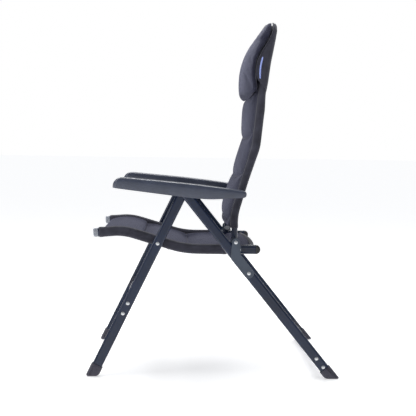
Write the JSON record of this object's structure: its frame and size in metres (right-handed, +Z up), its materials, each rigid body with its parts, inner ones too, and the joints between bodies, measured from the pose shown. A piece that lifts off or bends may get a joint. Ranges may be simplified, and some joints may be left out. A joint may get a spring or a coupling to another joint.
{
  "type": "folding camp chair",
  "caption": "High-backed padded camp chair with armrests that folds flat and reclines on notched arms.",
  "frame": {"origin": "floor centre of the chair's overall box, open and upright", "axes": "+Z up, +Y to the rear of the chair, +X to the sitter's left"},
  "size_m": [0.629, 0.8318, 1.1773],
  "materials": {
    "painted_tube": "night-blue powder coat on aluminium tube, satin",
    "painted_plate": "blue-grey powder coat on steel plate, satin",
    "foot_plastic": "moulded polyamide, fine grain",
    "fitting_plastic": "moulded polyamide, matt",
    "plug_plastic": "grey moulded polyethylene, soft sheen",
    "rivet_steel": "zinc-plated steel",
    "arm_plastic": "moulded polypropylene, fine grain with soft sheen",
    "cover_fabric": "dark grey padded mesh cloth"
  },
  "bodies": {
    "rear_frame": {"rear_leg_left": "painted_tube", "rear_leg_right": "painted_tube", "rear_leg_caps": "fitting_plastic", "rear_foot_left": "foot_plastic", "rear_foot_right": "foot_plastic", "rear_cross_bar": "painted_tube", "rear_cross_bar_ends": "fitting_plastic", "rear_cross_bar_rivets": "rivet_steel", "leg_pivot_pins": "rivet_steel", "leg_pivot_washers": "fitting_plastic", "link_pivot_rivets": "rivet_steel"},
    "front_frame": {"front_leg_left": "painted_tube", "front_leg_right": "painted_tube", "front_leg_caps": "fitting_plastic", "front_foot_left": "foot_plastic", "front_foot_right": "foot_plastic", "front_cross_bar": "painted_tube", "front_cross_bar_ends": "fitting_plastic", "front_cross_bar_rivets": "rivet_steel", "seat_pivot_rivets": "rivet_steel", "seat_pivot_spacers": "fitting_plastic"},
    "rear_links": {"link_outer_plate_left": "painted_plate", "link_outer_plate_right": "painted_plate", "link_inner_plate_left": "painted_plate", "link_inner_plate_right": "painted_plate", "link_spacers": "fitting_plastic", "back_pivot_pins": "rivet_steel"},
    "seat": {"seat_frame": "painted_tube", "seat_end_plugs": "plug_plastic", "seat_rear_plugs": "foot_plastic", "seat_rear_bar": "painted_tube", "seat_spreader": "painted_tube", "seat_hinge_plates": "painted_plate", "seat_hinge_rivets": "rivet_steel", "seat_pivot_bushes": "fitting_plastic", "seat_cover": "cover_fabric"},
    "back_bushes": {"back_pivot_bushes": "fitting_plastic"},
    "backrest": {"back_frame": "painted_tube", "back_end_caps": "fitting_plastic", "back_cross_brace": "painted_tube", "arm_hinge_bases": "fitting_plastic", "back_cover": "cover_fabric", "head_pillow": "cover_fabric"},
    "arm_pins": {"arm_hinge_pins": "rivet_steel"},
    "arm_bushes": {"arm_hinge_bushes": "fitting_plastic"},
    "arm_left": {"armrest_left": "arm_plastic", "arm_rack_left": "arm_plastic"},
    "arm_right": {"armrest_right": "arm_plastic", "arm_rack_right": "arm_plastic"}
  },
  "joints": [
    {"name": "front_leg_fold", "type": "hinge", "parent": "rear_frame", "child": "front_frame", "pos_m": [0, -0.10114, 0.614], "axis": [1, 0, 0], "range_deg": [0, 60]},
    {"name": "link_swing", "type": "hinge", "parent": "rear_frame", "child": "rear_links", "pos_m": [0, 0.11346, 0.34899], "axis": [-1, 0, 0], "range_deg": [0, 132.97]},
    {"name": "seat_swing", "type": "hinge", "parent": "rear_links", "child": "seat", "pos_m": [0, 0.06968, 0.44994], "axis": [1, 0, 0], "range_deg": [0, 96.69]},
    {"name": "back_carry", "type": "hinge", "parent": "rear_links", "child": "back_bushes", "pos_m": [0, 0.06968, 0.44994], "axis": [1, 0, 0], "range_deg": [0, 180.97]},
    {"name": "recline", "type": "hinge", "parent": "back_bushes", "child": "backrest", "pos_m": [0, 0.06968, 0.44994], "axis": [-1, 0, 0], "range_deg": [0, 35]},
    {"name": "arm_tilt", "type": "hinge", "parent": "backrest", "child": "arm_pins", "pos_m": [0, 0.09071, 0.60594], "axis": [1, 0, 0], "range_deg": [0, 27.54]},
    {"name": "arm_fold", "type": "hinge", "parent": "arm_pins", "child": "arm_bushes", "pos_m": [0, 0.09071, 0.60594], "axis": [-1, 0, 0], "range_deg": [0, 95.01]},
    {"name": "arm_lift_left", "type": "hinge", "parent": "arm_bushes", "child": "arm_left", "pos_m": [0, 0.09071, 0.60594], "axis": [-1, 0, 0], "range_deg": [0, 40]},
    {"name": "arm_lift_right", "type": "hinge", "parent": "arm_bushes", "child": "arm_right", "pos_m": [0, 0.09071, 0.60594], "axis": [-1, 0, 0], "range_deg": [0, 40]}
  ],
  "couplings": [
    {"joint": "link_swing", "follows": "front_leg_fold", "ratio": 2.2159},
    {"joint": "seat_swing", "follows": "front_leg_fold", "ratio": 1.6112},
    {"joint": "back_carry", "follows": "front_leg_fold", "ratio": 3.0159},
    {"joint": "arm_tilt", "follows": "recline", "ratio": 0.78646},
    {"joint": "arm_fold", "follows": "front_leg_fold", "ratio": 1.5833}
  ]
}
